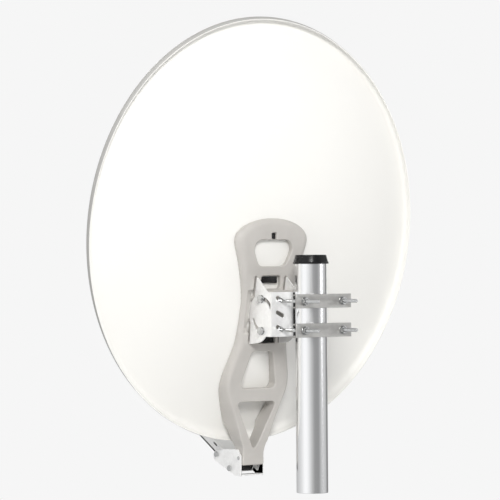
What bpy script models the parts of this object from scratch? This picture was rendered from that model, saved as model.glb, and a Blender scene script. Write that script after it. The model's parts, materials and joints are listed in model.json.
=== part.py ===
"""Offset satellite dish on a mast clamp: reflector, cast backbone, mast bracket and folding feed arm.

Frame: metres, +Z up along the mast axis, origin on that axis at the mast's foot.
The dish looks towards -Y and up; the mast stands behind it, towards +Y.
"""
import math

import bmesh
import bpy
from mathutils import Matrix, Vector

GAP = 0.0003                      # clearance between parts that touch

# Mast
MAST_RADIUS = 0.030
MAST_WALL = 0.0025
MAST_TOP = 0.4420
CAP_BOTTOM = 0.433
CAP_TOP = 0.450
CAP_SKIRT_RADIUS = 0.034
CAP_TOP_RADIUS = 0.0298

# The dish, its backbone and its bracket share a middle plane beside the mast axis
MIDDLE_X = 0.035

# Reflector: a circular cylinder cuts the offset paraboloid
DISH_RADIUS = 0.3765
FOCAL_LENGTH = 0.48
OFFSET_ANGLE = math.radians(22.0)
RIM_TILT = math.radians(6.8)
BEAM_ELEVATION = RIM_TILT + OFFSET_ANGLE
RIM_CENTRE = Vector((MIDDLE_X, -0.1455, 0.505))
SHEET = 0.0015
LIP_DEPTH = 0.019
LIP_BEND = 0.010
BEAM = Vector((0.0, -math.cos(BEAM_ELEVATION), math.sin(BEAM_ELEVATION)))
APERTURE_UP = Vector((0.0, math.sin(BEAM_ELEVATION), math.cos(BEAM_ELEVATION)))
RIM_OFFSET = 2.0 * FOCAL_LENGTH * math.tan(OFFSET_ANGLE)
RIM_DEPTH = (RIM_OFFSET ** 2 + DISH_RADIUS ** 2) / (4.0 * FOCAL_LENGTH)
VERTEX = RIM_CENTRE - RIM_OFFSET * APERTURE_UP - RIM_DEPTH * BEAM

# Mast bracket: a base plate against the mast with two side plates
BRACKET_SHEET = 0.003
BASE_REAR_Y = -MAST_RADIUS - GAP
BASE_LOW_Z = 0.2955
BASE_HIGH_Z = 0.380
BASE_FAR_X = -0.062
PLATE_OUTER = 0.0358              # side plates' outer faces, from the middle plane
PIVOT = Vector((MIDDLE_X, -0.0607, 0.3365))
PLATE_ARC_RADIUS = 0.0415
SLOT_RADIUS = 0.0303
SLOT_HALF_WIDTH = 0.0040
BOLT_RADIUS = 0.0036

# Mast clamp
CLAMP_BOLT_X = 0.0445
CLAMP_HEIGHTS = (0.3080, 0.3630)
SPARE_SLOT_HEIGHT = 0.3355
SLOT_RUN = (0.0116, 0.0059)
JAW_HALF_LENGTH = 0.0645
JAW_HEIGHT = 0.026
JAW_REAR_Y = 0.0405
JAW_SHEET = 0.003
CLAMP_BOLT_END_Y = 0.084

# Backbone
BONE_BOTTOM_Z = 0.0460
BONE_GAP = 0.0006
BOSS_HALF_WIDTH = PLATE_OUTER - BRACKET_SHEET - 0.0004
BOSS_REAR_Y = -0.0505
BOSS_LOW_Z = 0.2975
BOSS_HIGH_Z = 0.383

POCKET_RADIUS = 0.0540
POCKET_OUTER = 0.0495
POCKET_FLOOR = 0.0042

# Feed arm, in its own frame: x along the arm from the pivot bolt, y across, z up
ARM_ANGLE = math.radians(29.65)
ARM_PIVOT = Vector((MIDDLE_X, -0.2248, 0.0640))
ARM_HALF_WIDTH = 0.022
ARM_LOW = -0.0045
ARM_HIGH = 0.0135
ARM_WALL = 0.002
ARM_TAIL = -0.0575
ARM_LENGTH = 0.415
LOCK_DISTANCE = 0.0501
ARM_BOLT_RADIUS = 0.0030
CHEEK_OUTER = 0.0275
CHEEK_SHEET = 0.0025

# Holder for the feed at the arm's end
NECK_RADIUS = 0.0203
RING_WALL = 0.006
RING_LENGTH = 0.024
RING_CENTRE = Vector((0.4700, 0.0, 0.0300))
RING_SPLIT = 0.0006

for old in list(bpy.data.objects):
    bpy.data.objects.remove(old)

parts = bpy.data.collections.new("satellite_dish")
cutters = bpy.data.collections.new("cutters")
bpy.context.scene.collection.children.link(parts)
bpy.context.scene.collection.children.link(cutters)


def material(name, colour, roughness, metallic):
    made = bpy.data.materials.new(name)
    made.use_nodes = True
    shader = made.node_tree.nodes["Principled BSDF"]
    shader.inputs["Base Color"].default_value = (*colour, 1.0)
    shader.inputs["Roughness"].default_value = roughness
    shader.inputs["Metallic"].default_value = metallic
    return made


WHITE_COAT = material("white_coat", (0.86, 0.85, 0.82), 0.45, 0.0)
GREY_CASTING = material("grey_casting", (0.42, 0.40, 0.37), 0.55, 0.0)
ZINC_SHEET = material("zinc_sheet", (0.72, 0.72, 0.72), 0.40, 0.8)
ZINC_BOLT = material("zinc_bolt", (0.60, 0.61, 0.62), 0.30, 0.9)
MAST_METAL = material("mast_metal", (0.70, 0.71, 0.73), 0.30, 0.9)
ARM_METAL = material("arm_metal", (0.58, 0.58, 0.57), 0.45, 0.2)
BLACK_PLASTIC = material("black_plastic", (0.02, 0.02, 0.02), 0.35, 0.0)
GREY_PLASTIC = material("grey_plastic", (0.30, 0.30, 0.30), 0.50, 0.0)


# Frames that turn a flat outline or a turned profile into its place
SIDEWAYS = Matrix(((0, 0, 1, 0), (1, 0, 0, 0), (0, 1, 0, 0), (0, 0, 0, 1)))      # outline in Y, Z
UPRIGHT = Matrix(((1, 0, 0, 0), (0, 0, -1, 0), (0, 1, 0, 0), (0, 0, 0, 1)))      # outline in X, Z
FLAT = Matrix.Identity(4)                                                        # outline in X, Y


def frame_of(origin, x_axis, y_axis, z_axis):
    turn = Matrix((x_axis, y_axis, z_axis)).transposed().to_4x4()
    return Matrix.Translation(origin) @ turn


def axis_frame(start, direction):
    return Matrix.Translation(start) @ direction.to_track_quat("Z", "Y").to_matrix().to_4x4()


ARM_FRAME = frame_of(
    ARM_PIVOT,
    Vector((0.0, -math.cos(ARM_ANGLE), math.sin(ARM_ANGLE))),
    Vector((1.0, 0.0, 0.0)),
    Vector((0.0, math.sin(ARM_ANGLE), math.cos(ARM_ANGLE))),
)


def add(name, mesh, look=None):
    """Put a mesh in the scene: a part if it has a look, a hidden cutter if not."""
    made = bpy.data.objects.new(name, mesh)
    if look is None:
        cutters.objects.link(made)
        made.hide_render = True
        made.display_type = "WIRE"
        return made
    parts.objects.link(made)
    mesh.materials.append(look)
    return made


def finish_mesh(name, shape, look=None, smooth=True):
    bmesh.ops.recalc_face_normals(shape, faces=shape.faces)
    mesh = bpy.data.meshes.new(name)
    shape.to_mesh(mesh)
    shape.free()
    if smooth:
        mesh.shade_smooth()
        mesh.set_sharp_from_angle(angle=math.radians(35))
    return add(name, mesh, look)


def box(name, low, high, look=None, place=FLAT):
    shape = bmesh.new()
    bmesh.ops.create_cube(shape, size=1.0)
    low, high = Vector(low), Vector(high)
    size = Matrix.Diagonal((*(high - low), 1.0))
    bmesh.ops.transform(shape, matrix=place @ Matrix.Translation((low + high) / 2) @ size, verts=shape.verts)
    return finish_mesh(name, shape, look, smooth=False)


def rod(name, radius, start, end, look=None, sides=24, place=FLAT):
    """A cylinder, or a hexagonal bar with six sides, from start to end."""
    start, end = Vector(start), Vector(end)
    shape = bmesh.new()
    bmesh.ops.create_cone(
        shape, cap_ends=True, segments=sides, radius1=radius, radius2=radius, depth=(end - start).length
    )
    frame = axis_frame((start + end) / 2, end - start)
    bmesh.ops.transform(shape, matrix=place @ frame, verts=shape.verts)
    return finish_mesh(name, shape, look)


def turned(name, profile, look=None, steps=48, place=FLAT, closed=False):
    """Spin a profile of (radius, height) points, listed down its outer side, about the local Z axis."""
    mesh = bpy.data.meshes.new(name)
    points = [(radius, 0.0, height) for radius, height in profile]
    edges = [(i, i + 1) for i in range(len(points) - 1)]
    if closed:
        edges.append((len(points) - 1, 0))
    mesh.from_pydata(points, edges, [])
    made = add(name, mesh, look)
    made.matrix_world = place
    spin = made.modifiers.new("spin", "SCREW")
    spin.steps = steps
    spin.render_steps = steps
    spin.use_merge_vertices = True
    spin.merge_threshold = 0.00005
    spin.use_smooth_shade = True
    return made


def plate(name, outline, thickness, place, offset=0.0, holes=(), look=None):
    """A flat sheet with holes, its mid-plane at the given offset along the frame's third axis."""
    curve = bpy.data.curves.new(name, "CURVE")
    curve.dimensions = "2D"
    curve.fill_mode = "BOTH"
    curve.extrude = thickness / 2
    for points in (outline, *holes):
        spline = curve.splines.new("POLY")
        spline.points.add(len(points) - 1)
        spline.use_cyclic_u = True
        for point, (across, up) in zip(spline.points, points):
            point.co = (across, up, 0.0, 1.0)
    flat = bpy.data.objects.new(name + "_outline", curve)
    cutters.objects.link(flat)
    flat.matrix_world = place @ Matrix.Translation((0.0, 0.0, offset))
    bpy.context.view_layer.update()
    evaluated = flat.evaluated_get(bpy.context.evaluated_depsgraph_get())
    mesh = bpy.data.meshes.new_from_object(evaluated)
    mesh.transform(flat.matrix_world)
    bpy.data.objects.remove(flat)
    shape = bmesh.new()
    shape.from_mesh(mesh)
    bpy.data.meshes.remove(mesh)
    bmesh.ops.remove_doubles(shape, verts=shape.verts, dist=0.000001)
    return finish_mesh(name, shape, look)


def boolean(target, tool, operation):
    step = target.modifiers.new(tool.name, "BOOLEAN")
    step.object = tool
    step.operation = operation
    step.solver = "EXACT"


def cut(target, *tools):
    for tool in tools:
        boolean(target, tool, "DIFFERENCE")


def join(target, *tools):
    for tool in tools:
        boolean(target, tool, "UNION")


def arc(centre, radius, start, end, count):
    """Points on an arc, angles in degrees, both ends included."""
    points = []
    for i in range(count + 1):
        angle = math.radians(start + (end - start) * i / count)
        points.append((centre[0] + radius * math.cos(angle), centre[1] + radius * math.sin(angle)))
    return points


def bend(start, control, end, count):
    """Points on a parabola from start to end that leaves towards the control point."""
    points = []
    for i in range(count + 1):
        t = i / count
        weights = ((1 - t) ** 2, 2 * t * (1 - t), t * t)
        points.append(tuple(sum(w * p[k] for w, p in zip(weights, (start, control, end))) for k in (0, 1)))
    return points


def straight_slot(start, end, half_width):
    heading = math.degrees(math.atan2(end[1] - start[1], end[0] - start[0]))
    return arc(end, half_width, heading - 90, heading + 90, 6) + arc(start, half_width, heading + 90, heading + 270, 6)


def arc_slot(centre, radius, start, end, half_width):
    """A slot bent along an arc, angles in degrees, start below end."""
    ends = []
    for angle in (start, end):
        turn = math.radians(angle)
        ends.append((centre[0] + radius * math.cos(turn), centre[1] + radius * math.sin(turn)))
    outer = arc(centre, radius + half_width, start, end, 10)
    far = arc(ends[1], half_width, end, end + 180, 6)[1:-1]
    inner = arc(centre, radius - half_width, end, start, 10)
    near = arc(ends[0], half_width, start + 180, start + 360, 6)[1:-1]
    return outer + far + inner + near


def through(points, at):
    """Smooth value at a place, through (place, value) points in rising order."""
    if at <= points[0][0]:
        return points[0][1]
    if at >= points[-1][0]:
        return points[-1][1]
    i = max(k for k in range(len(points) - 1) if points[k][0] <= at)

    def slope(k):
        if k == 0 or k == len(points) - 1:
            return 0.0
        return (points[k + 1][1] - points[k - 1][1]) / (points[k + 1][0] - points[k - 1][0])

    span = points[i + 1][0] - points[i][0]
    t = (at - points[i][0]) / span
    return (
        (2 * t ** 3 - 3 * t ** 2 + 1) * points[i][1]
        + (t ** 3 - 2 * t ** 2 + t) * span * slope(i)
        + (3 * t ** 2 - 2 * t ** 3) * points[i + 1][1]
        + (t ** 3 - t ** 2) * span * slope(i + 1)
    )


def dish_point(radius, turn, drop=0.0):
    """A point of the reflector's rear surface, by its place in the round aperture."""
    across = radius * math.sin(turn)
    up = RIM_OFFSET + radius * math.cos(turn)
    rise = (up ** 2 + across ** 2) / (4.0 * FOCAL_LENGTH) - drop
    return VERTEX + up * APERTURE_UP + rise * BEAM + Vector((across, 0.0, 0.0))


def dish_rear_y(x, z):
    """Y of the reflector's rear surface straight behind a point, from its paraboloid."""
    height = z - VERTEX.z
    side = x - MIDDLE_X
    s, c = math.sin(BEAM_ELEVATION), math.cos(BEAM_ELEVATION)
    a = s * s / (4.0 * FOCAL_LENGTH)
    b = 2.0 * s * c * height / (4.0 * FOCAL_LENGTH) + c
    d = ((c * height) ** 2 + side ** 2) / (4.0 * FOCAL_LENGTH) - s * height
    return VERTEX.y + (-b + math.sqrt(b * b - 4.0 * a * d)) / (2.0 * a)


def dish_normal(x, z):
    """Rearward unit normal of the reflector at a point."""
    step = 0.001
    along_x = Vector((2 * step, dish_rear_y(x + step, z) - dish_rear_y(x - step, z), 0.0))
    along_z = Vector((0.0, dish_rear_y(x, z + step) - dish_rear_y(x, z - step), 2 * step))
    return along_z.cross(along_x).normalized()


def make_mast():
    inner = MAST_RADIUS - MAST_WALL
    tube = [(MAST_RADIUS, MAST_TOP), (MAST_RADIUS, 0.0), (inner, 0.0), (inner, MAST_TOP)]
    turned("mast_tube", tube, MAST_METAL, steps=48, closed=True)
    inside = MAST_RADIUS + GAP
    ceiling = MAST_TOP + GAP
    cap = [(0.0, CAP_TOP), (CAP_TOP_RADIUS - 0.001, CAP_TOP), (CAP_TOP_RADIUS, CAP_TOP - 0.001),
           (CAP_SKIRT_RADIUS, CAP_BOTTOM + 0.001), (CAP_SKIRT_RADIUS, CAP_BOTTOM),
           (inside, CAP_BOTTOM), (inside, ceiling), (0.0, ceiling)]
    turned("mast_cap", cap, BLACK_PLASTIC)


def side_plate_outline():
    """Side plate in Y, Z: horn above, round front, lobe below, rear edge in the base plate."""
    centre = (PIVOT.y, PIVOT.z)
    outline = [(BASE_REAR_Y, BASE_LOW_Z), (BASE_REAR_Y, BASE_HIGH_Z), (-0.0432, BASE_HIGH_Z)]
    outline += [(-0.0750, 0.4075), (-0.0772, 0.4075)]
    outline += arc(centre, PLATE_ARC_RADIUS, 125, 203, 16)
    outline += [(-0.1025, 0.2806)]
    outline += bend((-0.0780, 0.2826), (-0.0600, 0.2850), (-0.0515, BASE_LOW_Z), 5)
    return outline


def make_mount_bracket():
    near_x = MIDDLE_X + PLATE_OUTER
    slots = []
    for side in (1, -1):
        for height in (*CLAMP_HEIGHTS, SPARE_SLOT_HEIGHT):
            start = (side * CLAMP_BOLT_X, height)
            end = (side * (CLAMP_BOLT_X + SLOT_RUN[0]), height + SLOT_RUN[1])
            slots.append(straight_slot(start, end, 0.0039))
    outline = [(BASE_FAR_X, BASE_LOW_Z), (near_x, BASE_LOW_Z), (near_x, BASE_HIGH_Z), (BASE_FAR_X, BASE_HIGH_Z)]
    base = plate("mount_bracket", outline, BRACKET_SHEET, UPRIGHT,
                 offset=-(BASE_REAR_Y - BRACKET_SHEET / 2), holes=slots, look=ZINC_SHEET)
    centre = (PIVOT.y, PIVOT.z)
    arcs = [arc_slot(centre, SLOT_RADIUS, 30, 98, SLOT_HALF_WIDTH),
            arc_slot(centre, SLOT_RADIUS, 200, 278, SLOT_HALF_WIDTH)]
    for side, name in ((1, "near"), (-1, "far")):
        middle = MIDDLE_X + side * (PLATE_OUTER - BRACKET_SHEET / 2)
        join(base, plate("side_plate_" + name, side_plate_outline(), BRACKET_SHEET, SIDEWAYS,
                         offset=middle, holes=arcs))


def jaw_outline():
    """Flange of a clamp jaw in X, Y: two claws whose inner edges meet the mast as a V."""
    grip = math.radians(30)
    apex = (MAST_RADIUS + GAP) / math.cos(grip)
    claw = 0.020
    reach = (apex - claw) / math.tan(grip)
    front = JAW_REAR_Y - 0.012
    half = [(0.0, apex), (reach, claw), (reach + 0.006, claw), (reach + 0.012, front), (JAW_HALF_LENGTH, front)]
    rear = JAW_REAR_Y - JAW_SHEET / 2
    right = half + [(JAW_HALF_LENGTH, rear)]
    left = [(-x, y) for x, y in reversed(right) if x > 0.0]
    return right + left


def make_clamp(level, height):
    rear = JAW_REAR_Y - JAW_SHEET
    low, high = height - JAW_HEIGHT / 2, height + JAW_HEIGHT / 2
    jaw = box("clamp_jaw_" + level, (-JAW_HALF_LENGTH, rear, low), (JAW_HALF_LENGTH, JAW_REAR_Y, high), ZINC_SHEET)
    for edge, middle in (("top", high - JAW_SHEET / 2), ("bottom", low + JAW_SHEET / 2)):
        join(jaw, plate("jaw_flange_" + level + edge, jaw_outline(), JAW_SHEET, FLAT, offset=middle))
    for side, label in ((1, "left"), (-1, "right")):
        x = side * CLAMP_BOLT_X
        cut(jaw, rod("jaw_hole_" + level + label, 0.0043, (x, rear - 0.003, height), (x, JAW_REAR_Y + 0.003, height)))
        tag = level + "_" + label
        seat = BASE_REAR_Y - BRACKET_SHEET - GAP
        place = axis_frame(Vector((x, seat, height)), Vector((0.0, -1.0, 0.0)))
        dome = [(0.0, 0.0042), (0.0045, 0.0036), (0.0075, 0.0018), (0.0085, 0.0), (BOLT_RADIUS, 0.0),
                (BOLT_RADIUS, seat - CLAMP_BOLT_END_Y + 0.001), (BOLT_RADIUS - 0.001, seat - CLAMP_BOLT_END_Y),
                (0.0, seat - CLAMP_BOLT_END_Y)]
        turned("clamp_bolt_" + tag, dome, ZINC_BOLT, steps=20, place=place)
        make_nut("clamp_nut_" + tag, (x, JAW_REAR_Y + GAP, height), (0.0, 1.0, 0.0))


def make_nut(name, seat, heading, across=0.0130, thickness=0.0065, bore=BOLT_RADIUS, collar=0.0085):
    """A hexagonal nut with a round collar that sits on its seat."""
    seat, heading = Vector(seat), Vector(heading)
    nut = rod(name, across / math.sqrt(3), seat + heading * 0.0008, seat + heading * thickness, ZINC_BOLT, sides=6)
    join(nut, rod(name + "_collar", collar, seat, seat + heading * 0.0015))
    cut(nut, rod(name + "_bore", bore + GAP, seat - heading * 0.002, seat + heading * 0.012, sides=16))


def make_hex_bolt(name, head_seat, heading, length, radius, across=0.0130, head=0.0053):
    """A bolt whose head stands on its seat and whose shank runs the other way."""
    head_seat, heading = Vector(head_seat), Vector(heading)
    bolt = rod(name, across / math.sqrt(3), head_seat, head_seat + heading * head, ZINC_BOLT, sides=6)
    join(bolt, rod(name + "_shank", radius, head_seat + heading * head / 2, head_seat - heading * length, sides=16))


def make_washer(name, seat, heading, inner, outer=0.0080, thickness=0.0016):
    profile = [(outer, thickness), (outer, 0.0), (inner, 0.0), (inner, thickness)]
    place = axis_frame(Vector(seat), Vector(heading))
    turned(name, profile, ZINC_BOLT, steps=24, place=place, closed=True)


def make_elevation_bolts():
    """Two bolts through the backbone's boss, guided by the side plates' arc slots."""
    washer = 0.0016
    for level, side in (("upper", 1), ("lower", -1)):
        y, z = PIVOT.y, PIVOT.z + side * SLOT_RADIUS
        near = MIDDLE_X + PLATE_OUTER + GAP
        far = MIDDLE_X - PLATE_OUTER - GAP
        make_washer("elevation_washer_" + level + "_left", (near, y, z), (1, 0, 0), BOLT_RADIUS + GAP)
        make_washer("elevation_washer_" + level + "_right", (far, y, z), (-1, 0, 0), BOLT_RADIUS + GAP)
        head_seat = near + washer + GAP
        nut_seat = far - washer - GAP
        make_hex_bolt("elevation_bolt_" + level, (head_seat, y, z), (1, 0, 0),
                      head_seat - nut_seat + 0.009, BOLT_RADIUS)
        make_nut("elevation_nut_" + level, (nut_seat, y, z), (-1, 0, 0), collar=0.0070)


def make_reflector():
    """Sheet bowl cut by a circular cylinder, with its rim bent back along the beam axis."""
    spokes = 64
    flat_edge = DISH_RADIUS - LIP_BEND
    rings = [(flat_edge * i / 9, 0.0) for i in range(1, 10)]
    for angle in (30, 60, 90):
        turn = math.radians(angle)
        rings.append((flat_edge + LIP_BEND * math.sin(turn), LIP_BEND * (1 - math.cos(turn))))
    rings.append((DISH_RADIUS, LIP_DEPTH))
    shape = bmesh.new()
    middle = shape.verts.new(dish_point(0.0, 0.0))
    rows = []
    for radius, drop in rings:
        rows.append([shape.verts.new(dish_point(radius, 2 * math.pi * k / spokes, drop)) for k in range(spokes)])
    for k in range(spokes):
        following = (k + 1) % spokes
        shape.faces.new((middle, rows[0][following], rows[0][k]))
        for inner, outer in zip(rows, rows[1:]):
            shape.faces.new((inner[k], inner[following], outer[following], outer[k]))
    bowl = finish_mesh("reflector", shape, WHITE_COAT)
    towards_front = bowl.data.polygons[0].normal.y < 0.0
    shell = bowl.modifiers.new("sheet", "SOLIDIFY")
    shell.thickness = SHEET
    shell.offset = 1.0 if towards_front else -1.0
    return bowl


# Backbone: half width of its face, extra half width at its foot, and face depth, by height
FACE_WIDTH = ((0.046, 0.0247), (0.078, 0.0247), (0.096, 0.0325), (0.135, 0.0452), (0.165, 0.0558),
              (0.190, 0.0650), (0.203, 0.0668), (0.222, 0.0638), (0.250, 0.0545), (0.279, 0.0472),
              (0.300, 0.0458), (0.365, 0.0480), (0.384, 0.0505), (0.422, 0.0568), (0.460, 0.0635), (0.479, 0.0662))
FLARE = ((0.100, 0.0), (0.130, 0.004), (0.165, 0.008), (0.205, 0.009), (0.250, 0.013), (0.290, 0.013),
         (0.330, 0.0115), (0.385, 0.0105), (0.445, 0.0145), (0.479, 0.0190))
FACE_DEPTH = ((0.046, -0.1430), (0.094, -0.1375), (0.150, -0.1315), (0.200, -0.1245), (0.240, -0.1150),
              (0.280, -0.1052), (0.320, -0.0970), (0.364, -0.0885), (0.420, -0.0770), (0.460, -0.0700),
              (0.505, -0.0665), (0.530, -0.0660))
FRONT_DEPTH = ((0.046, -0.1630), (0.070, -0.1630), (0.085, -0.1710), (0.116, -0.1710))
BONE_CROWN_Z = 0.479
LIP_CLEAR_Z = 0.138


def bone_front_y(x, z):
    """Front of the backbone: on the reflector's back, and clear of its lip lower down."""
    on_dish = dish_rear_y(x, z) + BONE_GAP
    if z >= LIP_CLEAR_Z:
        return on_dish
    free = through(FRONT_DEPTH, z)
    start = FRONT_DEPTH[-1][0]
    if z <= start:
        return free
    share = (z - start) / (LIP_CLEAR_Z - start)
    share = share * share * (3 - 2 * share)
    return free + (on_dish - free) * share


def bone_stations():
    """Face half width, face height, foot half width and foot height, from the bottom up."""
    stations = []
    for i in range(37):
        z = BONE_BOTTOM_Z + (BONE_CROWN_Z - BONE_BOTTOM_Z) * i / 36
        face = through(FACE_WIDTH, z)
        stations.append((face, z, face + through(FLARE, z), z))
    face, foot = FACE_WIDTH[-1][1], FACE_WIDTH[-1][1] + FLARE[-1][1]
    for angle in (12, 24, 36, 48, 60, 70, 79, 86):
        turn = math.radians(angle)
        stations.append((face * math.cos(turn), BONE_CROWN_Z + 0.030 * math.sin(turn),
                         foot * math.cos(turn), BONE_CROWN_Z + 0.0415 * math.sin(turn)))
    return stations


def bone_section(face, face_z, foot, foot_z):
    """One closed ring of points: the front, one rounded flank, the face, the other flank."""
    fillet = (0, 18, 36, 54, 72, 90)
    depth = through(FACE_DEPTH, face_z)
    front = [(foot * k / 4, bone_front_y(MIDDLE_X + foot * k / 4, foot_z), foot_z) for k in range(-4, 5)]
    flank = []
    edge_y = front[-1][1]
    for angle in fillet[1:]:
        turn = math.radians(angle)
        inward = 1 - math.cos(turn)
        flank.append((foot + (face - foot) * inward, edge_y + (depth - edge_y) * math.sin(turn),
                      foot_z + (face_z - foot_z) * inward))
    face_row = [(face * k / 3, depth, face_z) for k in (2, 1, 0, -1, -2)]
    far_flank = [(-x, y, z) for x, y, z in reversed(flank)]
    return [Vector((MIDDLE_X + x, y, z)) for x, y, z in front + flank + face_row + far_flank]


def hole(outline_points, name, low_y=-0.25, high_y=-0.03):
    points = [(MIDDLE_X + x, z) for x, z in outline_points]
    return plate(name, points, high_y - low_y, UPRIGHT, offset=-(low_y + high_y) / 2)


def rounded(corners, radius, steps=4):
    """A convex outline, listed anticlockwise, with round corners."""
    points = []
    count = len(corners)
    for i, corner in enumerate(corners):
        here = Vector(corner)
        before = (Vector(corners[i - 1]) - here).normalized()
        after = (Vector(corners[(i + 1) % count]) - here).normalized()
        half = before.angle(after) / 2
        start = here + before * radius / math.tan(half)
        end = here + after * radius / math.tan(half)
        points += bend(tuple(start), tuple(here), tuple(end), steps)
    return points


def make_backbone():
    """Loft of rounded sections that hugs the dish, with windows, a clamp boss and plate recesses."""
    shape = bmesh.new()
    rows = [[shape.verts.new(point) for point in bone_section(*station)] for station in bone_stations()]
    for lower, upper in zip(rows, rows[1:]):
        for k in range(len(lower)):
            following = (k + 1) % len(lower)
            shape.faces.new((lower[k], lower[following], upper[following], upper[k]))
    shape.faces.new(rows[0])
    crown = rows[-1]
    shape.faces.new(crown[0:10] + crown[23:24])
    for k in (9, 10, 11):
        shape.faces.new((crown[k], crown[k + 1], crown[31 - k], crown[32 - k]))
    shape.faces.new(crown[12:21])
    bmesh.ops.triangulate(shape, faces=[face for face in shape.faces if len(face.verts) > 4])
    bone = finish_mesh("backbone", shape, GREY_CASTING)
    boss = [(-0.1100, BOSS_LOW_Z), (BOSS_REAR_Y, BOSS_LOW_Z), (BOSS_REAR_Y, BOSS_HIGH_Z), (-0.0890, BOSS_HIGH_Z)]
    join(bone, plate("clamp_boss", boss, 2 * BOSS_HALF_WIDTH, SIDEWAYS, offset=MIDDLE_X))
    windows = (
        ("window_top", [(-0.031, 0.4285), (0.031, 0.4285), (0.046, 0.462), (0.036, 0.479), (-0.036, 0.479),
                        (-0.046, 0.462)], 0.016),
        ("window_latch", [(-0.0058, 0.4800), (0.0058, 0.4800), (0.0058, 0.4925), (-0.0058, 0.4925)], 0.0010),
        ("window_neck", [(-0.024, 0.386), (0.024, 0.386), (0.022, 0.4105), (-0.022, 0.4105)], 0.005),
        ("window_middle", [(-0.043, 0.1945), (0.043, 0.1945), (0.024, 0.266), (-0.024, 0.266)], 0.011),
        ("window_bottom", [(0.0, 0.072), (0.047, 0.1685), (-0.047, 0.1685)], 0.008),
        ("window_throat", [(-0.0270, 0.2815), (0.0270, 0.2815), (0.0270, 0.2965), (-0.0270, 0.2965)], 0.002),
    )
    for name, corners, radius in windows:
        cut(bone, hole(rounded(corners, radius), name))
    centre = (PIVOT.y, PIVOT.z)
    width = BRACKET_SHEET + 0.0016
    pocket = []
    for i in range(17):
        z = PIVOT.z - POCKET_RADIUS * 0.87 + POCKET_RADIUS * 1.74 * i / 16
        round_y = PIVOT.y - math.sqrt(POCKET_RADIUS ** 2 - (z - PIVOT.z) ** 2)
        pocket.append((max(round_y, dish_rear_y(MIDDLE_X + POCKET_OUTER, z) + POCKET_FLOOR), z))
    pocket += [(-0.045, pocket[-1][1]), (-0.045, pocket[0][1])]
    for side, label in ((1, "near"), (-1, "far")):
        ring = arc(centre, PLATE_ARC_RADIUS + 0.004, 0, 352.5, 47)
        horn = arc(centre, 0.0765, 88, 134, 6) + [centre]
        lobe = arc(centre, 0.0722, 196, 252, 6) + [centre]
        for step, (tip, outline) in enumerate((("ring", ring), ("horn", horn), ("lobe", lobe))):
            middle = BOSS_HALF_WIDTH + 0.00010 + 0.00007 * step + width / 2
            cut(bone, plate("groove_" + tip + label, outline, width, SIDEWAYS, offset=MIDDLE_X + side * middle))
        inner = BOSS_HALF_WIDTH + width - 0.0005
        cut(bone, plate("pocket_" + label, pocket, POCKET_OUTER - inner, SIDEWAYS,
                        offset=MIDDLE_X + side * (inner + POCKET_OUTER) / 2))
    for level, side in (("upper", 1), ("lower", -1)):
        z = PIVOT.z + side * SLOT_RADIUS
        cut(bone, rod("boss_hole_" + level, BOLT_RADIUS + GAP, (MIDDLE_X - 0.05, PIVOT.y, z),
                      (MIDDLE_X + 0.05, PIVOT.y, z), sides=16))
    return bone


def make_reflector_screws(bowl, bone):
    """Screws from the front of the reflector into the backbone, square to the sheet."""
    for i, (across, z) in enumerate(((0.050, 0.486), (-0.050, 0.486), (0.053, 0.182), (-0.053, 0.182))):
        x = MIDDLE_X + across
        rearward = dish_normal(x, z)
        front = Vector((x, dish_rear_y(x, z), z)) - rearward * (SHEET + GAP)
        tag = str(i + 1)
        profile = [(0.0, 0.0026), (0.0035, 0.0022), (0.0065, 0.0), (0.0026, 0.0), (0.0026, -0.0075), (0.0, -0.0075)]
        turned("reflector_screw_" + tag, profile, ZINC_BOLT, steps=16, place=axis_frame(front, -rearward))
        drill = rod("screw_hole_" + tag, 0.0030, front - rearward * 0.002, front + rearward * 0.0085, sides=12)
        cut(bowl, drill)
        cut(bone, drill)


def make_arm_bracket():
    """Two cheeks beside the backbone's foot, joined by a web under it."""
    cheek = [(-0.1470, 0.0250), (-0.1455, 0.0640), (-0.1560, 0.0765), (-0.2020, 0.0745),
             (-0.2320, 0.0700), (-0.2372, 0.0640), (-0.2368, 0.0530), (-0.1665, 0.0262)]
    front_hole = arc((ARM_PIVOT.y, ARM_PIVOT.z), ARM_BOLT_RADIUS + GAP, 0, 337.5, 15)
    lock = lock_point()
    rear_hole = arc((lock.y, lock.z), ARM_BOLT_RADIUS + GAP, 0, 337.5, 15)
    rivet_hole = arc((-0.1530, 0.0600), 0.0024, 0, 330, 11)
    middle = CHEEK_OUTER - CHEEK_SHEET / 2
    bracket = plate("arm_bracket", cheek, CHEEK_SHEET, SIDEWAYS, offset=MIDDLE_X + middle,
                    holes=(front_hole, rear_hole, rivet_hole), look=ZINC_SHEET)
    join(bracket, plate("far_cheek", cheek, CHEEK_SHEET, SIDEWAYS, offset=MIDDLE_X - middle,
                        holes=(front_hole, rear_hole, rivet_hole)))
    join(bracket, box("cheek_web", (MIDDLE_X - middle, -0.1662, 0.0262), (MIDDLE_X + middle, -0.1471, 0.0287)))


def lock_point():
    return ARM_FRAME @ Vector((-LOCK_DISTANCE, 0.0, 0.0))


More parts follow.
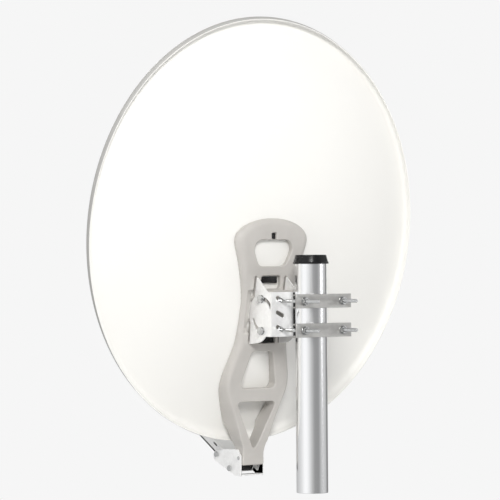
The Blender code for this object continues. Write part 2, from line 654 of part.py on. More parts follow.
def make_arm_bolts(bone):
    for name, at in (("arm_pivot", ARM_PIVOT), ("arm_lock", lock_point())):
        near = MIDDLE_X + CHEEK_OUTER + GAP
        far = MIDDLE_X - CHEEK_OUTER - GAP
        make_hex_bolt(name + "_bolt", (near, at.y, at.z), (1, 0, 0), near - far + 0.008,
                      ARM_BOLT_RADIUS, across=0.0100, head=0.0042)
        make_nut(name + "_nut", (far, at.y, at.z), (-1, 0, 0), across=0.0100, thickness=0.0052,
                 bore=ARM_BOLT_RADIUS, collar=0.0068)
    for side, label in ((1, "left"), (-1, "right")):
        face = Vector((MIDDLE_X + side * (CHEEK_OUTER + GAP), -0.1530, 0.0600))
        heading = Vector((side, 0.0, 0.0))
        profile = [(0.0, 0.0012), (0.0022, 0.0010), (0.0038, 0.0), (0.0021, 0.0), (0.0021, -0.010), (0.0, -0.010)]
        turned("bracket_rivet_" + label, profile, ZINC_BOLT, steps=16, place=axis_frame(face, heading))
        cut(bone, rod("rivet_hole_" + label, 0.0024, face, face - heading * 0.0110, sides=12))


def make_feed_arm():
    """Rectangular tube that turns on the pivot bolt; its notched tail hooks under the lock bolt."""
    arm = box("feed_arm", (ARM_TAIL, -ARM_HALF_WIDTH, ARM_LOW), (ARM_LENGTH, ARM_HALF_WIDTH, ARM_HIGH),
              ARM_METAL, place=ARM_FRAME)
    inner = ARM_HALF_WIDTH - ARM_WALL
    cut(arm, box("arm_bore", (ARM_TAIL - 0.01, -inner, ARM_LOW + ARM_WALL),
                 (ARM_LENGTH + 0.01, inner, ARM_HIGH - ARM_WALL), place=ARM_FRAME))
    across = ((0.0, -0.03, 0.0), (0.0, 0.03, 0.0))
    cut(arm, rod("arm_pivot_hole", ARM_BOLT_RADIUS + GAP, *across, sides=16, place=ARM_FRAME))
    side_frame = ARM_FRAME @ Matrix(((1, 0, 0, 0), (0, 0, -1, 0), (0, 1, 0, 0), (0, 0, 0, 1)))
    reach = ARM_BOLT_RADIUS + GAP
    notch = [(-LOCK_DISTANCE + 0.0080, 0.016), (-LOCK_DISTANCE - reach, 0.016)]
    notch += arc((-LOCK_DISTANCE, 0.0), reach, 180, 360, 8)
    cut(arm, plate("arm_notch", notch, 0.06, side_frame))
    slot = straight_slot((0.0170, 0.0090), (0.0270, 0.0090), 0.0016)
    cut(arm, plate("cable_slot", slot, 0.06, side_frame))


def make_arm_plug():
    """Black plug in the arm's open tail, behind the notch."""
    high, half = ARM_HIGH - ARM_WALL - GAP, ARM_HALF_WIDTH - ARM_WALL - GAP
    box("feed_arm_plug", (ARM_TAIL - 0.0004, -half, ARM_LOW + ARM_WALL + GAP), (ARM_TAIL + 0.0034, half, high),
        BLACK_PLASTIC, place=ARM_FRAME)


def ring_frame():
    """Frame on the feed's axis: x away from the arm, y across, z towards the dish."""
    lean = math.radians(45.0)
    outward = Vector((math.cos(lean), 0.0, math.sin(lean)))
    towards_dish = Vector((-math.sin(lean), 0.0, math.cos(lean)))
    return ARM_FRAME @ frame_of(RING_CENTRE, outward, Vector((0.0, 1.0, 0.0)), towards_dish)


def half_ring(side):
    """Half of the clamp ring in its frame's x, y, on the side that x points to or from."""
    start = 90 if side < 0 else -90
    inset = math.degrees(RING_SPLIT / NECK_RADIUS)
    outer = arc((0.0, 0.0), NECK_RADIUS + RING_WALL, start + inset, start + 180 - inset, 20)
    inner = arc((0.0, 0.0), NECK_RADIUS, start + 180 - inset, start + inset, 20)
    return outer + inner


def make_feed_holder():
    place = ring_frame()
    plug_low, plug_high = ARM_LOW + ARM_WALL + GAP, ARM_HIGH - ARM_WALL - GAP
    plug_half = ARM_HALF_WIDTH - ARM_WALL - GAP
    holder = plate("feed_holder", half_ring(-1), RING_LENGTH, place, look=GREY_PLASTIC)
    cap = plate("feed_clamp_cap", half_ring(1), RING_LENGTH, place, look=GREY_PLASTIC)
    ear_low, ear_high = NECK_RADIUS + 0.0030, NECK_RADIUS + RING_WALL + 0.0105
    for side, label in ((1, "left"), (-1, "right")):
        low_y, high_y = sorted((side * ear_low, side * ear_high))
        join(holder, box("holder_ear_" + label, (-0.0056, low_y, -0.008), (-RING_SPLIT, high_y, 0.008), place=place))
        join(cap, box("cap_ear_" + label, (RING_SPLIT, low_y, -0.008), (0.0056, high_y, 0.008), place=place))
        y = side * (NECK_RADIUS + RING_WALL + 0.0052)
        drill = rod("ear_hole_" + label, 0.0025, (-0.010, y, 0.0), (0.010, y, 0.0), sides=12, place=place)
        cut(holder, drill)
        cut(cap, drill)
        seat = place @ Vector((0.0056 + GAP, y, 0.0))
        heading = (place.to_3x3() @ Vector((1.0, 0.0, 0.0))).normalized()
        profile = [(0.0, 0.0030), (0.0034, 0.0026), (0.0045, 0.0), (0.0021, 0.0), (0.0021, -0.0150), (0.0, -0.0150)]
        turned("feed_clamp_screw_" + label, profile, ZINC_BOLT, steps=16, place=axis_frame(seat, heading))
    join(holder, box("holder_block", (ARM_LENGTH + GAP, -ARM_HALF_WIDTH, ARM_LOW), (0.4480, ARM_HALF_WIDTH, ARM_HIGH),
                     place=ARM_FRAME))
    join(holder, box("holder_rib", (-0.0400, -0.0120, -0.0110), (-0.0235, 0.0120, 0.0110), place=place))
    join(holder, box("holder_plug", (ARM_LENGTH - 0.036, -plug_half, plug_low), (ARM_LENGTH + 0.002, plug_half,
                                                                                plug_high), place=ARM_FRAME))


def ride_on(pivot_name, location, names):
    """Parent pieces to an empty on their joint's axis."""
    pivot = bpy.data.objects.new(pivot_name, None)
    pivot.location = location
    parts.objects.link(pivot)
    bpy.context.view_layer.update()
    for made in list(parts.objects):
        if made.type == "MESH" and made.name.startswith(names):
            made.parent = pivot
            made.matrix_parent_inverse = pivot.matrix_world.inverted()
    return pivot


make_mast()
make_mount_bracket()
for level, height in zip(("lower", "upper"), CLAMP_HEIGHTS):
    make_clamp(level, height)
make_elevation_bolts()
reflector = make_reflector()
backbone = make_backbone()
make_reflector_screws(reflector, backbone)
make_arm_bracket()
make_arm_bolts(backbone)
make_feed_arm()
make_arm_plug()
make_feed_holder()

mast_axis = ride_on("mast_axis", (0.0, 0.0, 0.0), ("mount_", "clamp_"))
elevation_axis = ride_on("elevation_axis", PIVOT, ("elevation_", "reflector", "backbone", "arm_", "bracket_"))
arm_axis = ride_on("arm_axis", ARM_PIVOT, ("feed_",))
for child, parent in ((elevation_axis, mast_axis), (arm_axis, elevation_axis)):
    child.parent = parent
    child.matrix_parent_inverse = parent.matrix_world.inverted()
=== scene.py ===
"""Offset satellite dish: fine surfaces, materials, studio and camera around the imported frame."""
import json
import math

import bmesh
import bpy
from mathutils import Matrix, Vector


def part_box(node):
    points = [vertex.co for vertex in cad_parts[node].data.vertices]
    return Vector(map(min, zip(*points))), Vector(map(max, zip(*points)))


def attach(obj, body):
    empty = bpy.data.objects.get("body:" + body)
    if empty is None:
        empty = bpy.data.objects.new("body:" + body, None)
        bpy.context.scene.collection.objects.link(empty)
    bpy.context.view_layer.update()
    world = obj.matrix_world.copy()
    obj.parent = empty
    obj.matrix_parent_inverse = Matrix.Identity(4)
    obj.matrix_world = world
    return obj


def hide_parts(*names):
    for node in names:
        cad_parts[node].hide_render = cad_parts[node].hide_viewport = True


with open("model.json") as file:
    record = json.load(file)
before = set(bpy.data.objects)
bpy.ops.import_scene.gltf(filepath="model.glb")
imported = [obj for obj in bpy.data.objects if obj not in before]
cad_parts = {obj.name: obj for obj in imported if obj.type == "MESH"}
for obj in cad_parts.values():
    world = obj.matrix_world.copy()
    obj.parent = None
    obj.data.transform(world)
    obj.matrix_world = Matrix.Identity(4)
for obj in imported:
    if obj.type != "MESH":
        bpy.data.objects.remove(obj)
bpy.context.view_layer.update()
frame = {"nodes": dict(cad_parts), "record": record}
NODES = frame["nodes"]
BODY_OF = {node: body for body, names in frame["record"]["behaviour"]["bodies"].items() for node in names}
SLOT_OF = {entry["node"]: entry["material_slot"] for entry in frame["record"]["subparts"]}


# ---------------------------------------------------------------- camera
def make_camera():
    """Level camera behind the dish and to its side, with a slight roll."""
    heading = math.radians(35.5)
    roll = math.radians(0.43)
    ahead = Vector((-math.sin(heading), -math.cos(heading), 0.0))
    right = Vector((-math.cos(heading), math.sin(heading), 0.0))
    up = Vector((0.0, 0.0, 1.0))
    data = bpy.data.cameras.new("camera")
    data.sensor_width = 36.0
    data.lens = 216.0
    data.clip_start, data.clip_end = 0.1, 60.0
    camera = bpy.data.objects.new("camera", data)
    bpy.context.scene.collection.objects.link(camera)
    rolled_up = up * math.cos(roll) + right * math.sin(roll)
    rolled_right = right * math.cos(roll) - up * math.sin(roll)
    turn = Matrix((rolled_right, rolled_up, -ahead)).transposed().to_4x4()
    distance, sideways, height = 5.678, 0.1147, 0.4599
    place = -distance * ahead - sideways * right + Vector((0.0, 0.0, height))
    camera.matrix_world = Matrix.Translation(place) @ turn
    bpy.context.scene.camera = camera


make_camera()


# ---------------------------------------------------------------- materials
def surface(name, colour, roughness, metallic=0.0, mottle=(9.0, 0.04), stretch=(1.0, 1.0, 1.0),
            rough_spread=0.08, grain=(900.0, 0.05), dents=None, edge=0.0, spangle=None, coat=0.0):
    """Procedural material: mottled colour, uneven roughness, fine grain; also dents, spangle or worn edges.

    mottle, grain, dents and spangle are each a pair: the pattern's scale and its strength.
    """
    made = bpy.data.materials.new(name)
    made.use_nodes = True
    tree = made.node_tree
    nodes, links = tree.nodes, tree.links
    shader = nodes["Principled BSDF"]
    shader.inputs["Metallic"].default_value = metallic
    shader.inputs["Coat Weight"].default_value = coat
    shader.inputs["Coat Roughness"].default_value = 0.25
    where = nodes.new("ShaderNodeTexCoord")
    spread = nodes.new("ShaderNodeMapping")
    spread.inputs["Scale"].default_value = stretch
    links.new(where.outputs["Object"], spread.inputs["Vector"])

    def noise(scale, detail):
        made_noise = nodes.new("ShaderNodeTexNoise")
        made_noise.inputs["Scale"].default_value = scale
        made_noise.inputs["Detail"].default_value = detail
        links.new(spread.outputs["Vector"], made_noise.inputs["Vector"])
        return made_noise.outputs["Fac"]

    def ranged(value, low, high, from_low=0.3, from_high=0.7):
        node = nodes.new("ShaderNodeMapRange")
        node.inputs["From Min"].default_value = from_low
        node.inputs["From Max"].default_value = from_high
        node.inputs["To Min"].default_value = low
        node.inputs["To Max"].default_value = high
        links.new(value, node.inputs["Value"])
        return node.outputs["Result"]

    def scaled_colour(factor, source):
        node = nodes.new("ShaderNodeVectorMath")
        node.operation = "SCALE"
        if source is None:
            node.inputs[0].default_value = colour
        else:
            links.new(source, node.inputs[0])
        links.new(factor, node.inputs["Scale"])
        return node.outputs[0]

    tone = scaled_colour(ranged(noise(mottle[0], 4.0), 1.0 - mottle[1], 1.0 + mottle[1]), None)
    if spangle:
        cells = nodes.new("ShaderNodeTexVoronoi")
        cells.inputs["Scale"].default_value = spangle[0]
        links.new(where.outputs["Object"], cells.inputs["Vector"])
        split = nodes.new("ShaderNodeSeparateColor")
        links.new(cells.outputs["Color"], split.inputs["Color"])
        tone = scaled_colour(ranged(split.outputs["Red"], 1.0 - spangle[1], 1.0 + spangle[1], 0.0, 1.0), tone)
    if edge:
        shape = nodes.new("ShaderNodeNewGeometry")
        tone = scaled_colour(ranged(shape.outputs["Pointiness"], 1.0 - edge, 1.0 + edge, 0.44, 0.56), tone)
    links.new(tone, shader.inputs["Base Color"])
    rough = ranged(noise(mottle[0] * 3.7, 5.0), roughness - rough_spread, roughness + rough_spread)
    links.new(rough, shader.inputs["Roughness"])
    fine = nodes.new("ShaderNodeBump")
    fine.inputs["Strength"].default_value = grain[1]
    fine.inputs["Distance"].default_value = 0.001
    links.new(noise(grain[0], 3.0), fine.inputs["Height"])
    if dents:
        broad = nodes.new("ShaderNodeBump")
        broad.inputs["Strength"].default_value = dents[1]
        broad.inputs["Distance"].default_value = 0.004
        links.new(noise(dents[0], 1.0), broad.inputs["Height"])
        links.new(broad.outputs["Normal"], fine.inputs["Normal"])
    links.new(fine.outputs["Normal"], shader.inputs["Normal"])
    return made


LOOKS = {
    "white_coat": surface("white_coat", (0.87, 0.862, 0.835), 0.42, mottle=(3.0, 0.012), grain=(1400.0, 0.06),
                          dents=(14.0, 0.03), rough_spread=0.06, edge=0.03),
    "grey_casting": surface("grey_casting", (0.52, 0.500, 0.475), 0.55, mottle=(28.0, 0.035),
                            grain=(1500.0, 0.16), rough_spread=0.07, edge=0.10),
    "zinc_sheet": surface("zinc_sheet", (0.92, 0.92, 0.915), 0.38, metallic=0.45, mottle=(40.0, 0.035),
                          grain=(700.0, 0.08), spangle=(160.0, 0.035), edge=0.10),
    "zinc_bolt": surface("zinc_bolt", (0.50, 0.505, 0.505), 0.20, metallic=1.0, mottle=(120.0, 0.08),
                         grain=(1600.0, 0.10), edge=0.15),
    "mast_metal": surface("mast_metal", (0.90, 0.905, 0.915), 0.20, metallic=1.0, mottle=(9.0, 0.006),
                          stretch=(9.0, 9.0, 0.25), grain=(220.0, 0.003), rough_spread=0.02),
    "arm_metal": surface("arm_metal", (0.90, 0.90, 0.89), 0.42, metallic=0.08, mottle=(30.0, 0.04),
                         grain=(900.0, 0.08), edge=0.10),
    "black_plastic": surface("black_plastic", (0.006, 0.006, 0.0065), 0.24, mottle=(60.0, 0.15),
                             grain=(1200.0, 0.12), coat=0.3, edge=0.2),
    "grey_plastic": surface("grey_plastic", (0.30, 0.30, 0.30), 0.48, mottle=(60.0, 0.05),
                            grain=(1300.0, 0.15), edge=0.12),
}
# The black parts reflect less than a polished plastic would
LOOKS["black_plastic"].node_tree.nodes["Principled BSDF"].inputs["Specular IOR Level"].default_value = 0.15
# Painted shade: grey for the rim lip's outer wall, standing in for the shade that falls there
RIM_SHADE_LOOK = surface("rim_painted_shade", (0.47, 0.465, 0.45), 0.5, mottle=(20.0, 0.03), grain=(1200.0, 0.08))
JAW_LOOK = surface("zinc_jaw", (0.40, 0.395, 0.385), 0.42, metallic=0.6, mottle=(60.0, 0.05),
                   grain=(900.0, 0.12), spangle=(220.0, 0.04), edge=0.15)
for node, thing in NODES.items():
    thing.data.materials.clear()
    thing.data.materials.append(LOOKS[SLOT_OF[node]])


# ---------------------------------------------------------------- building blocks
def enrol(thing, nodes):
    """The piece stands for these CAD nodes: same body, same slot, and the slot's look."""
    thing.data.materials.clear()
    thing.data.materials.append(LOOKS[SLOT_OF[nodes[0]]])
    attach(thing, BODY_OF[nodes[0]])
    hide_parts(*nodes)


def link(name, mesh):
    thing = bpy.data.objects.new(name, mesh)
    bpy.context.scene.collection.objects.link(thing)
    return thing


def shade(mesh, angle=35.0):
    mesh.shade_smooth()
    mesh.set_sharp_from_angle(angle=math.radians(angle))


def from_bmesh(name, shape, angle=35.0):
    bmesh.ops.recalc_face_normals(shape, faces=shape.faces)
    mesh = bpy.data.meshes.new(name)
    shape.to_mesh(mesh)
    shape.free()
    shade(mesh, angle)
    return link(name, mesh)


def applied(thing):
    """Bake the modifiers into the mesh."""
    bpy.context.view_layer.update()
    done = thing.evaluated_get(bpy.context.evaluated_depsgraph_get())
    mesh = bpy.data.meshes.new_from_object(done)
    thing.modifiers.clear()
    thing.data = mesh
    return thing


def softened(node, name, width, segments=2, angle=32.0):
    """A copy of a CAD node with its sharp edges rounded."""
    shape = bmesh.new()
    shape.from_mesh(NODES[node].data)
    bmesh.ops.remove_doubles(shape, verts=shape.verts, dist=0.00001)
    bmesh.ops.dissolve_limit(shape, angle_limit=math.radians(1.0), verts=shape.verts, edges=shape.edges)
    thing = from_bmesh(name, shape, angle)
    soft = thing.modifiers.new("round", "BEVEL")
    soft.width = width
    soft.segments = segments
    soft.limit_method = "ANGLE"
    soft.angle_limit = math.radians(angle)
    soft.use_clamp_overlap = False
    soft.harden_normals = True
    enrol(thing, [node])
    return thing


def lathe(profile, steps, place):
    """A closed turned mesh from (radius, height) points whose ends are on the axis."""
    shape = bmesh.new()
    turns = [2 * math.pi * k / steps for k in range(steps)]
    rings = []
    for radius, height in profile:
        if radius == 0.0:
            rings.append([shape.verts.new((0.0, 0.0, height))])
        else:
            around = [(radius * math.cos(t), radius * math.sin(t), height) for t in turns]
            rings.append([shape.verts.new(point) for point in around])
    for upper, lower in zip(rings, rings[1:]):
        for k in range(steps):
            near, far = k, (k + 1) % steps
            corners = []
            for ring, order in ((upper, (near, far)), (lower, (far, near))):
                corners += [ring[0]] if len(ring) == 1 else [ring[i] for i in order]
            if len(corners) > 2:
                shape.faces.new(corners)
    bmesh.ops.transform(shape, matrix=place, verts=shape.verts)
    return shape


def axis_frame(start, direction):
    """Placement whose local Z points along the direction."""
    return Matrix.Translation(start) @ Vector(direction).to_track_quat("Z", "Y").to_matrix().to_4x4()


# ---------------------------------------------------------------- reflector
MIDDLE_X = 0.035
DISH_RADIUS = 0.3765
FOCAL_LENGTH = 0.48
OFFSET_ANGLE = math.radians(22.0)
BEAM_ELEVATION = math.radians(6.8) + OFFSET_ANGLE
BEAM = Vector((0.0, -math.cos(BEAM_ELEVATION), math.sin(BEAM_ELEVATION)))
APERTURE_UP = Vector((0.0, math.sin(BEAM_ELEVATION), math.cos(BEAM_ELEVATION)))
RIM_OFFSET = 2.0 * FOCAL_LENGTH * math.tan(OFFSET_ANGLE)
RIM_DEPTH = (RIM_OFFSET ** 2 + DISH_RADIUS ** 2) / (4.0 * FOCAL_LENGTH)
VERTEX = Vector((MIDDLE_X, -0.1455, 0.505)) - RIM_OFFSET * APERTURE_UP - RIM_DEPTH * BEAM
LIP_BEND, LIP_DEPTH, SHEET, BAND = 0.012, 0.019, 0.0015, 0.0004
SPOKES, BOWL_RINGS = 256, 30


def dish_point(radius, turn, drop):
    """The bowl's point at this radius and turn, moved back along the beam by the drop."""
    across, up = radius * math.sin(turn), RIM_OFFSET + radius * math.cos(turn)
    rise = (up ** 2 + across ** 2) / (4.0 * FOCAL_LENGTH) - drop
    return VERTEX + up * APERTURE_UP + rise * BEAM + Vector((across, 0.0, 0.0))


def dish_rows(shape, section):
    """One ring of vertices round the dish for each (radius, drop) of the section."""
    return [[shape.verts.new(dish_point(radius, 2 * math.pi * k / SPOKES, drop)) for k in range(SPOKES)]
            for radius, drop in section]


def make_rim_painted_shade():
    """Painted shade: a grey band round the outside of the rim's lip, standing in for the shade on its outer
    wall.
    """
    flat_edge = DISH_RADIUS - BAND - LIP_BEND
    bends = [math.radians(turn) for turn in range(42, 91, 8)]
    outer, inner = LIP_BEND + SHEET + BAND, LIP_BEND + SHEET
    section = [(flat_edge + outer * math.sin(turn), LIP_BEND - outer * math.cos(turn)) for turn in bends]
    section += [(flat_edge + outer, LIP_DEPTH), (flat_edge + inner, LIP_DEPTH)]
    section += [(flat_edge + inner * math.sin(turn), LIP_BEND - inner * math.cos(turn))
                for turn in reversed(bends)]
    shape = bmesh.new()
    rows = dish_rows(shape, section)
    for i, row in enumerate(rows):
        following = rows[(i + 1) % len(rows)]
        for k in range(SPOKES):
            after = (k + 1) % SPOKES
            shape.faces.new((row[k], row[after], following[after], following[k]))
    band = from_bmesh("rim_painted_shade_band", shape, 60.0)
    band.data.materials.append(RIM_SHADE_LOOK)
    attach(band, "dish")


def make_reflector():
    """The pressed bowl with its bent rim, as a fine surface given the sheet's thickness."""
    rim = DISH_RADIUS - BAND
    flat_edge = rim - LIP_BEND
    rings = [(flat_edge * i / BOWL_RINGS, 0.0) for i in range(1, BOWL_RINGS + 1)]
    for step in range(1, 10):
        turn = math.radians(10 * step)
        rings.append((flat_edge + LIP_BEND * math.sin(turn), LIP_BEND * (1 - math.cos(turn))))
    rings += [(rim, LIP_BEND + 0.001), (rim, LIP_DEPTH)]
    shape = bmesh.new()
    middle = shape.verts.new(dish_point(0.0, 0.0, 0.0))
    rows = dish_rows(shape, rings)
    for k in range(SPOKES):
        after = (k + 1) % SPOKES
        shape.faces.new((middle, rows[0][after], rows[0][k]))
        for inner, outer in zip(rows, rows[1:]):
            shape.faces.new((inner[k], inner[after], outer[after], outer[k]))
    bowl = from_bmesh("reflector_skin", shape, 60.0)
    shell = bowl.modifiers.new("sheet", "SOLIDIFY")
    shell.thickness = SHEET
    shell.offset = 1.0 if bowl.data.polygons[0].normal.y < 0.0 else -1.0
    applied(bowl)
    shade(bowl.data, 50.0)
    enrol(bowl, ["reflector"])


make_reflector()
make_rim_painted_shade()


# ---------------------------------------------------------------- backbone
def make_backbone():
    """The moulded backbone: the CAD solid remeshed finely, then relaxed so that every edge is soft."""
    bone = link("backbone_moulding", NODES["backbone"].data.copy())
    remesh = bone.modifiers.new("voxels", "REMESH")
    remesh.mode = "VOXEL"
    remesh.voxel_size = 0.0012
    relax = bone.modifiers.new("relax", "SMOOTH")
    relax.factor = 0.5
    relax.iterations = 9
    applied(bone)
    bone.data.shade_smooth()
    enrol(bone, ["backbone"])


make_backbone()


# ---------------------------------------------------------------- sheet metal
for node in ("mount_bracket", "arm_bracket"):
    softened(node, node + "_sheet", 0.0005)


def flat_plate(name, outline, thickness, low_z):
    """A level slab with this outline in X, Y."""
    shape = bmesh.new()
    lower = [shape.verts.new((x, y, low_z)) for x, y in outline]
    upper = [shape.verts.new((x, y, low_z + thickness)) for x, y in outline]
    count = len(outline)
    shape.faces.new(lower)
    shape.faces.new(upper)
    for i in range(count):
        shape.faces.new((lower[i], lower[(i + 1) % count], upper[(i + 1) % count], upper[i]))
    return from_bmesh(name, shape)


def jaw_edge(radius, rear, steps):
    """Toothed flange edge of a jaw in X, Y: a V with teeth against the mast, and a curve out to each end."""
    grip = math.radians(30)
    claw, flare, curl, half_width = 0.020, 0.005, 0.0085, 0.0643
    tooth, relief = 0.0013, 0.0002
    apex = radius / math.cos(grip)
    reach = (apex - claw) / math.tan(grip)
    half = []
    for i in range(steps + 1):
        x = reach * i / steps
        half.append((x, apex - x * math.tan(grip) + (tooth if i % 2 else relief)))
    half.append((reach + flare, claw))
    for i in range(1, 9):
        t = i / 8
        half.append((reach + flare + (half_width - reach - flare) * t, claw + curl * (t * t * (3 - 2 * t))))
    half.append((half_width, rear))
    return half + [(-x, y) for x, y in reversed(half) if x > 0.0]


def make_jaw(level):
    """A clamp jaw: web, two toothed flanges and round holes for its bolts."""
    node = "clamp_jaw_" + level
    low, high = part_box(node)
    name = "jaw_" + level + "_sheet"
    sheet, rear, inset = 0.0028, high.y, 0.0001
    grip_radius, hole_radius, bolt_x = 0.0303, 0.0043, 0.0445
    jaw = flat_plate(name, [(low.x, rear - sheet), (high.x, rear - sheet), (high.x, rear), (low.x, rear)],
                     high.z - low.z, low.z)
    edge = jaw_edge(grip_radius, rear - 0.0012, 15)
    flange_heights = (("_low", low.z + inset), ("_high", high.z - sheet - inset))
    flanges = [flat_plate(name + tag, edge, sheet, z) for tag, z in flange_heights]
    tools = [(part, "UNION") for part in flanges]
    middle = (low.z + high.z) / 2
    for side in (1, -1):
        hole = link(name + "_bore", bpy.data.meshes.new("bore"))
        shape = bmesh.new()
        bmesh.ops.create_cone(shape, cap_ends=True, segments=28, radius1=hole_radius, radius2=hole_radius,
                              depth=0.02)
        place = axis_frame(Vector((side * bolt_x, rear, middle)), (0.0, 1.0, 0.0))
        bmesh.ops.transform(shape, matrix=place, verts=shape.verts)
        shape.to_mesh(hole.data)
        shape.free()
        tools.append((hole, "DIFFERENCE"))
    for tool, operation in tools:
        step = jaw.modifiers.new(tool.name, "BOOLEAN")
        step.object, step.operation, step.solver = tool, operation, "EXACT"
    applied(jaw)
    for tool, _ in tools:
        bpy.data.objects.remove(tool)
    soft = jaw.modifiers.new("round", "BEVEL")
    soft.width, soft.segments, soft.limit_method = 0.0004, 2, "ANGLE"
    soft.angle_limit = math.radians(35)
    soft.use_clamp_overlap = False
    enrol(jaw, [node])
    jaw.data.materials[0] = JAW_LOOK


for level in ("lower", "upper"):
    make_jaw(level)


# ---------------------------------------------------------------- fasteners
BOLT_RADIUS, THREAD_PITCH, THREAD_DEPTH, END_TAPER = 0.0036, 0.00125, 0.0006, 0.0006


def threaded(shape, place, start, end, radius, pitch, depth, sides=20):
    """Adds a closed rod with a helical thread along the local Z axis, from start to end."""
    rows_per_turn = 4
    count = int(abs(end - start) / pitch * rows_per_turn)
    rows = []
    for j in range(count + 1):
        along = start + (end - start) * j / count
        fade = min(1.0, (count - j) / 4, j / 2)
        row = []
        for k in range(sides):
            turn = 2 * math.pi * k / sides
            phase = (abs(along) / pitch + k / sides) % 1.0
            groove = depth * (1 - abs(2 * phase - 1)) * fade
            reach = radius - groove - (1 - min(1.0, (count - j) / 3)) * END_TAPER
            point = Vector((reach * math.cos(turn), reach * math.sin(turn), along))
            row.append(shape.verts.new(place @ point))
        rows.append(row)
    for lower, upper in zip(rows, rows[1:]):
        for k in range(sides):
            after = (k + 1) % sides
            shape.faces.new((lower[k], lower[after], upper[after], upper[k]))
    shape.faces.new(rows[0])
    shape.faces.new(rows[-1])


def make_clamp_bolt(node):
    """Coach bolt: domed head, smooth shank and rolled thread."""
    low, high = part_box(node)
    x, z = (low.x + high.x) / 2, (low.z + high.z) / 2
    seat, end = -0.0336, high.y
    head_radius, shank_end_y, thread_start_y = 0.0085, 0.005, 0.004
    place = axis_frame(Vector((x, seat, z)), (0.0, -1.0, 0.0))
    head = seat - low.y
    dome = [(0.0, head)]
    dome += [(head_radius * math.sin(math.radians(a)), head * math.cos(math.radians(a)) * 0.92 + 0.08 * head)
             for a in range(12, 91, 12)]
    dome += [(head_radius, 0.0003), (0.0082, 0.0), (BOLT_RADIUS, 0.0), (BOLT_RADIUS, seat - shank_end_y),
             (0.0, seat - shank_end_y)]
    shape = lathe(dome, 40, place)
    threaded(shape, place, seat - thread_start_y, seat - end, BOLT_RADIUS, THREAD_PITCH, THREAD_DEPTH)
    enrol(from_bmesh(node + "_coach", shape, 40.0), [node])


for node in sorted(NODES):
    if node.startswith("clamp_bolt"):
        make_clamp_bolt(node)
    elif "nut" in node:
        softened(node, node + "_hex", 0.00045, 2, 25.0)
    elif node.startswith(("elevation_bolt", "arm_pivot_bolt", "arm_lock_bolt")):
        softened(node, node + "_hex", 0.00045, 2, 25.0)
    elif node in ("feed_holder", "feed_clamp_cap", "feed_arm_plug"):
        softened(node, node + "_moulding", 0.0007, 3)
    elif node.startswith("elevation_washer"):
        softened(node, node + "_ring", 0.0003, 2)


def make_block(name, low, high, body, slot, width=0.0005):
    """A small block with rounded edges; used for the black blocks of painted shade."""
    shape = bmesh.new()
    bmesh.ops.create_cube(shape, size=1.0)
    low, high = Vector(low), Vector(high)
    size = Matrix.Diagonal((*(high - low), 1.0))
    bmesh.ops.transform(shape, matrix=Matrix.Translation((low + high) / 2) @ size, verts=shape.verts)
    block = from_bmesh(name, shape)
    soft = block.modifiers.new("round", "BEVEL")
    soft.width, soft.segments = width, 3
    block.data.materials.append(LOOKS[slot])
    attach(block, body)


# Painted shade: black blocks in the backbone's openings, standing in for the deep shade inside them
for name, half, low_z, high_z, rear_y in (("latch_painted_shade", 0.0051, 0.4810, 0.4915, -0.0725),
                                          ("neck_painted_shade", 0.0185, 0.3965, 0.4088, -0.0860),
                                          ("throat_painted_shade", 0.0262, 0.2828, 0.2955, -0.1095)):
    make_block(name, (MIDDLE_X - half, rear_y - 0.0035, low_z), (MIDDLE_X + half, rear_y, high_z),
               "dish", "black_plastic")
# Painted shade: thin black strips in the gap between the mounting plate and the mast, standing in for the
# shadow in that gap
STRIP_X = 0.0193
for side, label in ((1, "left"), (-1, "right")):
    x = side * STRIP_X
    make_block("painted_shade_strip_" + label, (x - 0.0011, -0.0302, 0.2965), (x + 0.0011, -0.0246, 0.3790),
               "mount", "black_plastic")


# ---------------------------------------------------------------- mast and arm
def make_mast():
    """Drawn tube with deburred ends, and its pushed-on cap with a rolled edge."""
    low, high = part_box("mast_tube")
    outer, inner, top, burr = high.x, high.x - 0.0025, high.z, 0.0006
    shape = bmesh.new()
    profile = [(outer - burr, top), (outer, top - burr)]
    profile += [(outer, top - burr - (top - 2 * burr) * i / 12) for i in range(1, 13)]
    profile += [(outer - burr, low.z), (inner + burr, low.z), (inner, low.z + burr), (inner, top - burr),
                (inner + burr, top)]
    steps = 128
    turns = [2 * math.pi * k / steps for k in range(steps)]
    rings = [[shape.verts.new((r * math.cos(t), r * math.sin(t), z)) for t in turns] for r, z in profile]
    for i, ring in enumerate(rings):
        following = rings[(i + 1) % len(rings)]
        for k in range(steps):
            shape.faces.new((ring[k], ring[(k + 1) % steps], following[(k + 1) % steps], following[k]))
    enrol(from_bmesh("mast_tube_drawn", shape), ["mast_tube"])
    low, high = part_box("mast_cap")
    rim, crown, bead, bore, ceiling = high.x, high.z, 0.0018, 0.0303, 0.4423
    top_radius = rim - 0.0042
    profile = [(0.0, crown)]
    profile += [(top_radius - bead + bead * math.sin(math.radians(a)),
                 crown - bead + bead * math.cos(math.radians(a))) for a in range(0, 76, 15)]
    profile += [(rim - 0.0010, low.z + 0.0036), (rim, low.z + 0.0030), (rim, low.z + 0.0005),
                (rim - 0.0005, low.z), (0.0308, low.z), (bore, low.z + 0.0005), (bore, ceiling),
                (0.0, ceiling)]
    enrol(from_bmesh("mast_cap_moulded", lathe(profile, 96, Matrix.Identity(4)), 40.0), ["mast_cap"])


make_mast()
softened("feed_arm", "feed_arm_tube", 0.0014, 3)


# ---------------------------------------------------------------- studio
def make_light(name, place, target, size, power, tint=(1.0, 1.0, 1.0)):
    data = bpy.data.lights.new(name, "AREA")
    data.shape = "DISK"
    data.size = size
    data.energy = power
    data.color = tint
    lamp = bpy.data.objects.new(name, data)
    bpy.context.scene.collection.objects.link(lamp)
    lamp.location = place
    lamp.rotation_mode = "QUATERNION"
    lamp.rotation_quaternion = (Vector(target) - Vector(place)).to_track_quat("-Z", "Y")


PAPER = 0.922
AMBIENT = 0.53


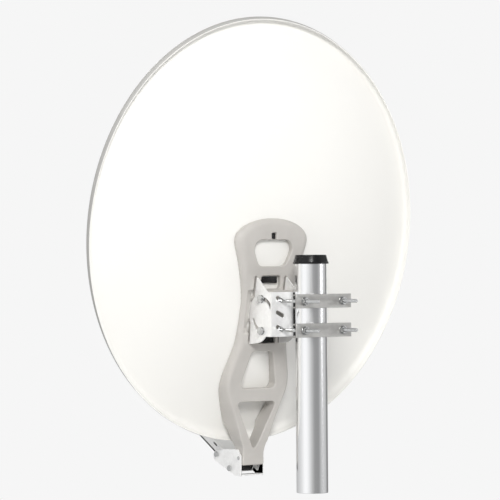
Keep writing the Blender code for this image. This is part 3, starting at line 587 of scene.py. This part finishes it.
def make_studio():
    """Pale floor and surround, a large key above the camera, a weak side light and a front fill."""
    world = bpy.data.worlds.new("studio")
    bpy.context.scene.world = world
    world.use_nodes = True
    nodes, links = world.node_tree.nodes, world.node_tree.links
    out = nodes["Background"]
    way = nodes.new("ShaderNodeTexCoord")
    split = nodes.new("ShaderNodeSeparateXYZ")
    links.new(way.outputs["Generated"], split.inputs[0])
    bearing = nodes.new("ShaderNodeMath")
    bearing.operation = "ARCTAN2"
    links.new(split.outputs["Y"], bearing.inputs[0])
    links.new(split.outputs["X"], bearing.inputs[1])
    unit = nodes.new("ShaderNodeMapRange")
    unit.inputs["From Min"].default_value = -math.pi
    unit.inputs["From Max"].default_value = math.pi
    links.new(bearing.outputs[0], unit.inputs["Value"])
    ramp = nodes.new("ShaderNodeValToRGB")
    # What polished metal reflects, as (share of a full turn, brightness)
    stops = ((0.0, 0.26), (0.04, 0.22), (0.12, 0.40), (0.31, 0.62), (0.42, 0.82), (0.49, 1.08), (0.55, 1.05),
             (0.60, 0.80), (0.65, 0.48), (0.70, 0.31), (0.79, 0.31), (0.84, 0.56), (0.89, 0.62), (0.95, 0.62),
             (1.0, 0.45))
    elements = ramp.color_ramp.elements
    for i, (place, level) in enumerate(stops):
        stop = elements[i] if i < 1 else elements.new(place) if i < len(stops) - 1 else elements[-1]
        stop.position = place
        stop.color = (level, level, level, 1.0)
    links.new(unit.outputs["Result"], ramp.inputs["Fac"])
    path = nodes.new("ShaderNodeLightPath")
    glossy = nodes.new("ShaderNodeMix")
    glossy.data_type = "RGBA"
    glossy.inputs["A"].default_value = (AMBIENT, AMBIENT, AMBIENT, 1.0)
    links.new(path.outputs["Is Glossy Ray"], glossy.inputs["Factor"])
    links.new(ramp.outputs["Color"], glossy.inputs["B"])
    seen = nodes.new("ShaderNodeMix")
    seen.data_type = "RGBA"
    seen.inputs["B"].default_value = (PAPER, PAPER, PAPER, 1.0)
    links.new(path.outputs["Is Camera Ray"], seen.inputs["Factor"])
    links.new(glossy.outputs["Result"], seen.inputs["A"])
    links.new(seen.outputs["Result"], out.inputs["Color"])

    floor_shape = bmesh.new()
    bmesh.ops.create_circle(floor_shape, cap_ends=True, segments=96, radius=14.0)
    bmesh.ops.transform(floor_shape, matrix=Matrix.Translation((0, 0, -0.001)), verts=floor_shape.verts)
    floor = from_bmesh("floor", floor_shape)
    paper = bpy.data.materials.new("floor_paper")
    paper.use_nodes = True
    nodes, links = paper.node_tree.nodes, paper.node_tree.links
    shader = nodes["Principled BSDF"]
    shader.inputs["Base Color"].default_value = (0.75, 0.75, 0.75, 1.0)
    shader.inputs["Roughness"].default_value = 0.9
    glow = nodes.new("ShaderNodeEmission")
    glow.inputs["Color"].default_value = (PAPER, PAPER, PAPER, 1.0)
    path = nodes.new("ShaderNodeLightPath")
    either = nodes.new("ShaderNodeMixShader")
    links.new(path.outputs["Is Camera Ray"], either.inputs["Fac"])
    links.new(shader.outputs["BSDF"], either.inputs[1])
    links.new(glow.outputs["Emission"], either.inputs[2])
    links.new(either.outputs["Shader"], nodes["Material Output"].inputs["Surface"])
    floor.data.materials.append(paper)
    floor.visible_glossy = False

    bpy.context.scene.view_settings.view_transform = "Standard"
    aim = (0.03, -0.12, 0.45)
    make_light("key", (2.7, 4.2, 2.6), aim, 1.5, 192.0, (1.0, 0.995, 0.98))
    make_light("side", (-3.4, 3.2, 1.0), aim, 1.6, 16.0)
    make_light("front", (-0.8, -3.6, 2.2), aim, 1.8, 40.0)


make_studio()
